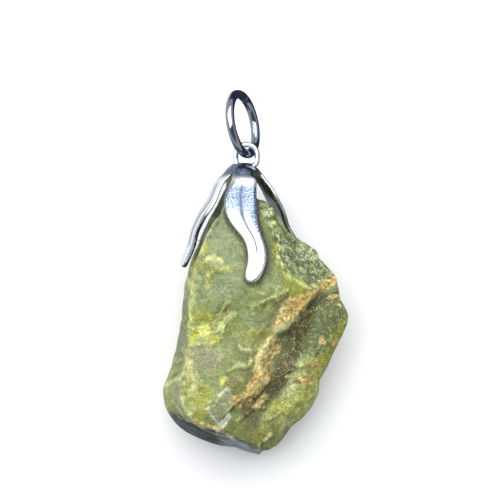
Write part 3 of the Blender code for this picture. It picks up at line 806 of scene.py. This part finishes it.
# a round wire along a circle: place = centre + (radius + wire cos b)(up cos a + near sin a)
# + wire sin b normal, with the wire pinched to a fine line at the seam
def makeJumpRing():
    lean = math.radians(jumpRing["lean"])
    turn = math.radians(jumpRing["turn"])
    up = np.array([-math.sin(lean), math.cos(lean), 0])
    near = np.array(
        [-math.cos(lean) * math.cos(turn), -math.sin(lean) * math.cos(turn), math.sin(turn)]
    )
    normal = np.cross(up, near)
    centre = np.array([eye["x"], eye["top"], cap["z"]]) + up * jumpRing["reach"]
    a = 2 * math.pi * np.arange(jumpRing["around"]) / jumpRing["around"]
    span = jumpRing["seamSpan"]
    # a hundredth of a degree keeps the finer rows off the even ones
    fine = np.linspace(-span, span, jumpRing["seamRows"])
    fine = np.radians(jumpRing["seamAt"] + fine + 0.01)
    a = np.sort(np.concatenate([a, fine % (2 * math.pi)]))
    b = 2 * math.pi * np.arange(jumpRing["sides"]) / jumpRing["sides"]
    off = (a - math.radians(jumpRing["seamAt"]) + math.pi) % (2 * math.pi) - math.pi
    pinch = np.exp(-(off * jumpRing["radius"] / jumpRing["seamWidth"]) ** 2)
    wire = jumpRing["wire"] - jumpRing["seamDepth"] * pinch
    radial = np.cos(a)[:, None] * up + np.sin(a)[:, None] * near
    step = jumpRing["radius"] + wire[:, None] * np.cos(b)
    rise = wire[:, None] * np.sin(b)
    p = centre + step[..., None] * radial[:, None, :] + rise[..., None] * normal
    quads = bandQuads(len(a) + 1, len(b))[:, ::-1] % (len(a) * len(b))
    obj = newMesh("jumpRingSilver", p.reshape(-1, 3) + shift, quads)
    print("ring", len(quads) * 2, "triangles")
    return obj


# dabs of clear glue beside the prongs: place and half size of each
glue = {
    "dabs": [
        ((-8, 3.3, 9.3), (0.55, 0.35, 0.3)),
        ((-7.5, 3.9, 9.4), (0.35, 0.4, 0.28)),
        ((-8.5, 2.5, 9), (0.4, 0.3, 0.28)),
        ((2, 8, 9.3), (0.3, 0.45, 0.25)),
        ((2.5, 6.6, 9.9), (0.28, 0.4, 0.25)),
    ],
    "around": 20,
    "rows": 12,
    "pole": 0.02,
    "lumps": 0.4,
}


# balls with a noise on them, each with a small flat cap at both poles
def makeGlue():
    a = 2 * math.pi * np.arange(glue["around"]) / glue["around"]
    b = np.linspace(glue["pole"], math.pi - glue["pole"], glue["rows"])
    ring = np.sin(b)[:, None]
    ball = [ring * np.cos(a), ring * np.sin(a), np.cos(b)[:, None] + 0 * a]
    ball = np.stack(ball, axis=-1).reshape(-1, 3)
    points = []
    faces = []
    for n, (place, size) in enumerate(glue["dabs"]):
        lumpy = 1 + glue["lumps"] * layeredNoise(ball + n * 7, 0.9, 2, 70)
        points.append(np.array(place) + ball * np.array(size) * lumpy[:, None])
        start = n * len(ball)
        faces += bandQuads(len(b), len(a), start)[:, ::-1].tolist()
        faces.append([start + k for k in range(len(a))])
        faces.append([start + (len(b) - 1) * len(a) + k for k in range(len(a))][::-1])
    return newMesh("glueBeads", np.concatenate(points) + shift, faces)


# sets the inputs of a node: an output of another node is linked, a number or a tuple is set;
# here and below the tree is the one that the node or the output belongs to
def feed(node, inputs):
    for name, value in inputs.items():
        socket = node.inputs[name]
        if isinstance(value, bpy.types.NodeSocket):
            node.id_data.links.new(value, socket)
        elif socket.type == "RGBA":
            socket.default_value = (*value, 1)
        else:
            socket.default_value = value


def newNode(tree, kind, inputs={}, **settings):
    node = tree.nodes.new("ShaderNode" + kind)
    for name, value in settings.items():
        setattr(node, name, value)
    feed(node, inputs)
    return node


def newNoise(coords, scale, detail, roughness):
    inputs = {"Vector": coords, "Scale": scale, "Detail": detail, "Roughness": roughness}
    return newNode(coords.id_data, "TexNoise", inputs).outputs["Fac"]


# a pattern of cells: distance to the nearest of its points, and the numbers of that cell
def newCells(coords, scale):
    tree = coords.id_data
    cells = newNode(tree, "TexVoronoi", {"Vector": coords, "Scale": scale})
    numbers = newNode(tree, "SeparateColor", {"Color": cells.outputs["Color"]})
    return cells.outputs["Distance"], numbers.outputs


def newRange(value, low, high, toLow=0, toHigh=1):
    inputs = {"Value": value, "From Min": low, "From Max": high, "To Min": toLow, "To Max": toHigh}
    kind = {"interpolation_type": "SMOOTHSTEP"}
    return newNode(value.id_data, "MapRange", inputs, **kind).outputs["Result"]


def newMath(operation, a, b=0, clamp=False):
    kind = {"operation": operation, "use_clamp": clamp}
    return newNode(a.id_data, "Math", {0: a, 1: b}, **kind).outputs[0]


def newMix(factor, under, over, blend="MIX"):
    tree = (factor if isinstance(factor, bpy.types.NodeSocket) else under).id_data
    inputs = {"Factor": factor, "A": under, "B": over}
    kind = {"data_type": "RGBA", "blend_type": blend}
    return newNode(tree, "Mix", inputs, **kind).outputs["Result"]


def attributeValue(tree, name, share=1):
    value = newNode(tree, "Attribute", attribute_name=name).outputs["Fac"]
    return newMath("MULTIPLY", value, share) if share < 1 else value


# an empty node group with its sockets, each given as a name and a kind
def newGroup(name, inputs, outputs):
    group = bpy.data.node_groups.new(name, "ShaderNodeTree")
    for way, sockets in (("INPUT", inputs), ("OUTPUT", outputs)):
        for label, kind in sockets.items():
            group.interface.new_socket(label, in_out=way, socket_type="NodeSocket" + kind)
    return group, group.nodes.new("NodeGroupInput").outputs, group.nodes.new("NodeGroupOutput")


# lays a colour over another where the mask is, with the mask's edge broken up by a noise
def makePaintGroup():
    inputs = {"Under": "Color", "Paint": "Color"}
    inputs.update({name: "Float" for name in ("Mask", "Breakup", "Ragged", "Strength")})
    group, given, result = newGroup("layPaint", inputs, {"Result": "Color"})
    centred = newMath("SUBTRACT", given["Breakup"], 0.5)
    moved = newMath("MULTIPLY", centred, given["Ragged"])
    inside = newMath("MULTIPLY", given["Mask"], 5, clamp=True)
    moved = newMath("MULTIPLY", moved, inside)
    total = newMath("ADD", given["Mask"], moved, clamp=True)
    factor = newMath("MULTIPLY", total, given["Strength"])
    feed(result, {"Result": newMix(factor, given["Under"], given["Paint"])})
    return group


# small bumps for a surface, from two sizes of noise
def makeGrainGroup():
    inputs = {"Vector": "Vector", "Coarse": "Float", "Fine": "Float", "Depth": "Float"}
    group, given, result = newGroup("fineGrain", inputs, {"Normal": "Vector"})
    coarse = newNoise(given["Vector"], given["Coarse"], 3, 0.6)
    fine = newNoise(given["Vector"], given["Fine"], 3, 0.6)
    height = newMath("ADD", coarse, newMath("MULTIPLY", fine, 0.45))
    inputs = {"Strength": 1, "Distance": given["Depth"], "Height": height}
    bump = newNode(group, "Bump", inputs)
    feed(result, {"Normal": bump.outputs["Normal"]})
    return group


def grainNormal(coords, group, coarse, fine, depth):
    inputs = {"Vector": coords, "Coarse": coarse, "Fine": fine, "Depth": depth}
    return newNode(coords.id_data, "Group", inputs, node_tree=group).outputs["Normal"]


def newMaterial(name):
    material = bpy.data.materials.new(name)
    material.use_nodes = True
    tree = material.node_tree
    return material, tree, tree.nodes["Principled BSDF"]


opal = {
    "olive": (0.14, 0.172, 0.042),
    "sage": (0.2, 0.247, 0.095),
    "warm": (0.305, 0.32, 0.058),
    # noises: scale, detail and roughness
    "broad": (210, 4, 0.6),
    "blotches": (460, 4, 0.62),
    "middle": (1100, 5, 0.65),
    "small": (4600, 3, 0.7),
    "streaks": (2600, 3, 0.6),
    "fleckScale": 2300,
    "dotScale": 4700,
    # mask, colour, strength, and how ragged its edge is
    "layers": [
        ("pale", (0.315, 0.35, 0.14), 0.55, 1.6),
        # painted shade on the steep left strip
        ("shadedStrip", (0.15, 0.168, 0.092), 0.85, 0.6),
        ("stripLow", (0.25, 0.268, 0.086), 0.75, 1.6),
        ("shady", (0.25, 0.3, 0.175), 0.55, 1.6),
        ("olive", (0.12, 0.14, 0.048), 0.78, 1.6),
        # partly the lobe's own paler colour, partly painted light
        ("lift", (0.52, 0.57, 0.28), 0.75, 1.4),
        ("dark", (0.185, 0.22, 0.118), 0.8, 1.8),
        ("moss", (0.3, 0.3, 0.024), 0.75, 1.8),
        ("mauve", (0.235, 0.215, 0.135), 0.65, 1.6),
        # a brown stain, and brown painted shade along the lines
        ("brownStainAndShade", (0.15, 0.14, 0.036), 0.65, 1.8),
        ("shade", (0.1, 0.12, 0.036), 0.75, 1.8),
        ("lime", (0.27, 0.28, 0.024), 0.7, 2.2),
        # painted highlight on the rims of broken edges
        ("rim", (0.4, 0.44, 0.14), 0.75, 2.4),
        ("yellow", (0.51, 0.5, 0.11), 0.9, 2.2),
        ("acid", (0.32, 0.32, 0.012), 0.8, 2),
        # painted shade in the valleys
        ("valley", (0.075, 0.063, 0.018), 0.92, 1.2),
        ("creamy", (0.6, 0.57, 0.25), 0.75, 2.4),
        # painted shade on the bottom facet
        ("shadedFacet", (0.058, 0.072, 0.066), 1, 0),
        ("chip", (0.28, 0.305, 0.175), 0.6, 1),
        ("flake", (0.6, 0.64, 0.55), 0.75, 3),
        # painted shadow of the prongs on the stone
        ("hollow", (0.045, 0.052, 0.026), 0.85, 0.8),
    ],
    # the crust's grains from dark to bright, and what its rusty and creamy parts turn to
    "tan": ((0.4, 0.275, 0.07), (0.66, 0.49, 0.17)),
    "rust": (0.56, 0.29, 0.055),
    "cream": (0.68, 0.59, 0.22),
    "browHighlightColour": (0.62, 0.64, 0.3),
    "cleftShadeColour": (0.35, 0.33, 0.24),
    "facetPale": (0.23, 0.262, 0.262),
    "facetTurn": -24.2,
    "facetStretch": 14,
    "glintColour": (0.54, 0.58, 0.34),
    "smallGlintColour": (0.52, 0.58, 0.34),
    "roughness": (0.3, 0.55),
    # bumps: coarse and fine scale, and depth in metres
    "grain": (1700, 5200, 0.0002),
    "inside": {
        "Subsurface Weight": 0.2,
        "Subsurface Radius": (0.9, 1, 0.5),
        "Subsurface Scale": 0.001,
        "IOR": 1.45,
    },
}


def opalMaterial(paintGroup, grainGroup):
    material, tree, shader = newMaterial("greenOpal")
    coords = newNode(tree, "TexCoord").outputs["Object"]
    broad = newNoise(coords, *opal["broad"])
    middle = newNoise(coords, *opal["middle"])
    small = newNoise(coords, *opal["small"])
    fleck, chance = newCells(coords, opal["fleckScale"])
    fleck = newMath("ADD", fleck, newMath("MULTIPLY", small, 0.5))

    colour = newMix(newRange(broad, 0.36, 0.64), opal["olive"], opal["sage"])
    blotches = newNoise(coords, *opal["blotches"])
    colour = newMix(newRange(blotches, 0.50, 0.68, 0, 0.55), colour, opal["warm"])
    for name, paintColour, strength, ragged in opal["layers"]:
        inputs = {"Under": colour, "Paint": paintColour, "Mask": attributeValue(tree, name)}
        inputs.update({"Breakup": middle, "Ragged": ragged, "Strength": strength})
        lay = newNode(tree, "Group", inputs, node_tree=paintGroup)
        colour = lay.outputs["Result"]

    # crust grains run from rust through tan to cream, and are darker between each other
    tone = newMath("ADD", attributeValue(tree, "grainTone"), chance["Green"])
    tan = newMix(newRange(tone, 0.3, 1.5), *opal["tan"])
    tan = newMix(attributeValue(tree, "rust", 0.5), tan, opal["rust"])
    tan = newMix(attributeValue(tree, "creamy", 0.8), tan, opal["cream"])
    tan = newMix(1, tan, newRange(fleck, 0.50, 1.05, 1.12, 0.50), "MULTIPLY")
    colour = newMix(attributeValue(tree, "crustGrains"), colour, tan)

    # painted highlight and shade: thin edges are paler and yellower, clefts are darker
    brow = newMath("MULTIPLY", attributeValue(tree, "brow"), small)
    colour = newMix(brow, colour, opal["browHighlightColour"])
    cleftShade = attributeValue(tree, "cleftShade", 0.55)
    colour = newMix(cleftShade, colour, opal["cleftShadeColour"], "MULTIPLY")

    # the bottom facet, painted dark as shade, is streaked along its length and paler at its
    # right-hand end
    turn = (0, 0, math.radians(opal["facetTurn"]))
    inputs = {"Vector": coords, "Rotation": turn, "Scale": (opal["facetStretch"], 1, 1)}
    along = newNode(tree, "Mapping", inputs, vector_type="TEXTURE")
    streak = newNoise(along.outputs["Vector"], *opal["streaks"])
    facet = attributeValue(tree, "shadedFacet")
    pale = newMath("MULTIPLY", attributeValue(tree, "shadedFacetPale"), facet)
    colour = newMix(pale, colour, opal["facetPale"])
    colour = newMix(facet, colour, newRange(streak, 0.38, 0.66, 0.60, 1.75), "MULTIPLY")

    # small speckle: mask, noise, its low and high end, and the tones there
    lively = attributeValue(tree, "lively")
    speckles = [
        (1, small, 0.33, 0.67, 0.72, 1.26),
        (1, middle, 0.33, 0.67, 0.84, 1.18),
        (lively, middle, 0.40, 0.60, 0.58, 1.55),
        (lively, small, 0.36, 0.66, 0.70, 1.40),
    ]
    for where, noise, *ends in speckles:
        colour = newMix(where, colour, newRange(noise, *ends), "MULTIPLY")

    # painted glints: a few pale ones and more of the smallest dots, most of them where it is lively
    where = newRange(broad, 0.42, 0.60, 0.10, 0.50)
    where = newMath("ADD", where, lively, clamp=True)
    few = newRange(chance["Red"], 0.84, 0.92)
    spot = newMath("MULTIPLY", few, newRange(fleck, 0.56, 0.40))
    colour = newMix(newMath("MULTIPLY", spot, where), colour, opal["glintColour"])
    distance, chance = newCells(coords, opal["dotScale"])
    few = newRange(chance["Red"], 0.70, 0.92, 0, 0.6)
    dot = newMath("MULTIPLY", few, newRange(distance, 0.55, 0.30))
    dot = newMath("MULTIPLY", dot, newMath("ADD", where, 0.15, clamp=True))
    colour = newMix(dot, colour, opal["smallGlintColour"])

    feed(shader, {
        "Base Color": colour,
        "Normal": grainNormal(coords, grainGroup, *opal["grain"]),
        "Roughness": newRange(middle, 0.35, 0.7, *opal["roughness"]),
        **opal["inside"],
    })
    return material


silver = {
    "cap": {"tint": (0.88, 0.9, 0.94), "roughness": 0.17, "depth": 0.00003},
    # the ring's tint is much darker than the cap's, as a painted dark reflection
    "ring": {"tint": (0.29, 0.32, 0.38), "roughness": 0.06, "depth": 0.000003},
    "grainScales": (1400, 6000),
    "sand": (5600, 2, 0.6),
    # a sandy patch with a painted dark blue reflection, the crown's painted dark reflection and the
    # prongs' painted shade: dark and bright tone of the sand in each
    "satinReflection": ((0.085, 0.125, 0.22), (0.32, 0.37, 0.41)),
    "crownReflection": ((0.075, 0.1, 0.15), (0.22, 0.26, 0.34)),
    "edgeShade": ((0.018, 0.022, 0.028), (0.11, 0.125, 0.14)),
    "grooveColour": (0.05, 0.07, 0.13),
}


def silverMaterial(name, grainGroup, finish):
    material, tree, shader = newMaterial(name)
    coords = newNode(tree, "TexCoord").outputs["Object"]
    sand = newRange(newNoise(coords, *silver["sand"]), 0.42, 0.60)
    colour = finish["tint"]
    # painted reflections on the sandy patch and the crown, painted shade on the prongs' edges
    for patch in ("satinReflection", "crownReflection", "edgeShade"):
        tones = newMix(sand, *silver[patch])
        colour = newMix(attributeValue(tree, patch), colour, tones)
    scales = silver["grainScales"]
    # the groove along the middle of the prongs is darker
    feed(shader, {
        "Base Color": newMix(attributeValue(tree, "groove"), colour, silver["grooveColour"]),
        "Normal": grainNormal(coords, grainGroup, *scales, finish["depth"]),
        "Metallic": 1,
        "Roughness": finish["roughness"],
    })
    return material


clearGlue = {
    "Base Color": (0.85, 0.88, 0.82), "Roughness": 0.06, "Transmission Weight": 0.85, "IOR": 1.47,
}


def glueMaterial():
    material, tree, shader = newMaterial("clearGlue")
    feed(shader, clearGlue)
    return material


def wearMaterial(obj, material):
    obj.data.materials.clear()
    obj.data.materials.append(material)


studio = {
    # half a side of the table, in mm
    "floorSide": 700,
    "floorColour": (0.86, 0.86, 0.86),
    # height of the sky direction from 0 at the nadir to 1 at the zenith, and its colour
    "sky": [
        (0.46, (0.06, 0.078, 0.115)),
        (0.53, (0.78, 0.8, 0.84)),
        (0.7, (0.7, 0.72, 0.76)),
        (0.86, (0.2, 0.22, 0.26)),
        (1, (0.14, 0.16, 0.19)),
    ],
    "skyStrength": 1,
    # a white card low on the left, seen only by the metal, and the cosines where it ends and fills
    "cardDirection": (-0.90, 0.20, -0.40),
    "cardEdge": (0.55, 0.75),
    "cardColour": (0.95, 0.97, 1),
    "lamps": {
        "key": {
            "direction": (-0.16, 0.46, 0.87), "size": (1.15, 0.72), "power": 8.35, "mirrored": True,
        },
        "fill": {
            "direction": (0.72, -0.52, 0.46), "size": (0.5, 0.5), "power": 0.25, "mirrored": False,
        },
    },
    "lampDistance": 0.6,
}


# white to the camera, but metal mirrors the dark room below it, as with black cards beside a table
def makeFloor():
    corners = ((-1, -1, 0), (1, -1, 0), (1, 1, 0), (-1, 1, 0))
    points = studio["floorSide"] * np.array(corners)
    floor = newMesh("tableTop", points, [(0, 1, 2, 3)])
    floor.visible_glossy = False
    material, tree, shader = newMaterial("paleTable")
    plain = {"Base Color": studio["floorColour"], "Roughness": 1, "Specular IOR Level": 0}
    feed(shader, plain)
    wearMaterial(floor, material)


def makeWorld():
    world = bpy.data.worlds.new("studio")
    bpy.context.scene.world = world
    world.use_nodes = True
    tree = world.node_tree
    background = tree.nodes["Background"]
    direction = newNode(tree, "TexCoord").outputs["Generated"]
    split = newNode(tree, "SeparateXYZ", {"Vector": direction})
    height = newMath("ADD", newMath("MULTIPLY", split.outputs["Z"], 0.5), 0.5)
    ramp = newNode(tree, "ValToRGB", {"Fac": height})
    stops = ramp.color_ramp.elements
    while len(stops) < len(studio["sky"]):
        stops.new(0.5)
    for stop, (place, colour) in zip(stops, studio["sky"]):
        stop.position = place
        stop.color = (*colour, 1)
    inputs = {0: direction, 1: studio["cardDirection"]}
    towards = newNode(tree, "VectorMath", inputs, operation="DOT_PRODUCT")
    card = newRange(towards.outputs["Value"], *studio["cardEdge"])
    sky = newMix(card, ramp.outputs["Color"], studio["cardColour"])
    feed(background, {"Color": sky, "Strength": studio["skyStrength"]})


def makeLamps():
    for name, lamp in studio["lamps"].items():
        data = bpy.data.lights.new(name, "AREA")
        data.shape = "RECTANGLE"
        data.size, data.size_y = lamp["size"]
        data.energy = lamp["power"]
        obj = bpy.data.objects.new(name, data)
        towards = Vector(lamp["direction"]).normalized()
        obj.location = towards * studio["lampDistance"]
        obj.rotation_euler = (-towards).to_track_quat("-Z", "Y").to_euler()
        obj.visible_glossy = lamp["mirrored"]
        bpy.context.scene.collection.objects.link(obj)


camera = {
    "over": (-0.71, 2.97),
    "focusHeight": 7,
    "distance": 350,
    "widthSeen": 64.5,
    "sensor": 36,
}


def makeCamera():
    data = bpy.data.cameras.new("above")
    data.sensor_width = camera["sensor"]
    data.lens = camera["sensor"] * camera["distance"] / camera["widthSeen"]
    data.clip_start = 0.01
    data.clip_end = 5
    lens = bpy.data.objects.new("above", data)
    x, y = camera["over"]
    lens.location = (x * mm, y * mm, (camera["focusHeight"] + camera["distance"]) * mm)
    bpy.context.scene.collection.objects.link(lens)
    bpy.context.scene.camera = lens


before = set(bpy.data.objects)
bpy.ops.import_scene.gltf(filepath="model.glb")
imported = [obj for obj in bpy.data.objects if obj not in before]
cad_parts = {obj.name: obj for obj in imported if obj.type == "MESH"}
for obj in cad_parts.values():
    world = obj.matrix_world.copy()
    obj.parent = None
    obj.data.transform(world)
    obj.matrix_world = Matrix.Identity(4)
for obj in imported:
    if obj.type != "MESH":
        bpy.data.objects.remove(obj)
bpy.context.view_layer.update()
print("frame loaded")

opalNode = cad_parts["opal"]
tree = BVHTree.FromObject(opalNode, bpy.context.evaluated_depsgraph_get())

paintGroup = makePaintGroup()
grainGroup = makeGrainGroup()

opalStone = makeStone()
wearMaterial(opalStone, opalMaterial(paintGroup, grainGroup))
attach(opalStone, "pendant")
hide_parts("opal")

capSilver = silverMaterial("capSilver", grainGroup, silver["cap"])
bailCap = makeCap(tree)
eyeLoop = makeEyeLoop()
for piece in (bailCap, eyeLoop):
    wearMaterial(piece, capSilver)
    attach(piece, "pendant")
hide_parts("bail_cap")

ring = makeJumpRing()
wearMaterial(ring, silverMaterial("ringSilver", grainGroup, silver["ring"]))
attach(ring, "ring")
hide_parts("jump_ring")

beads = makeGlue()
wearMaterial(beads, glueMaterial())
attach(beads, "pendant")
print("pieces made")

makeFloor()
makeWorld()
makeLamps()
makeCamera()
bpy.context.scene.view_settings.view_transform = "Standard"
print("stage set")
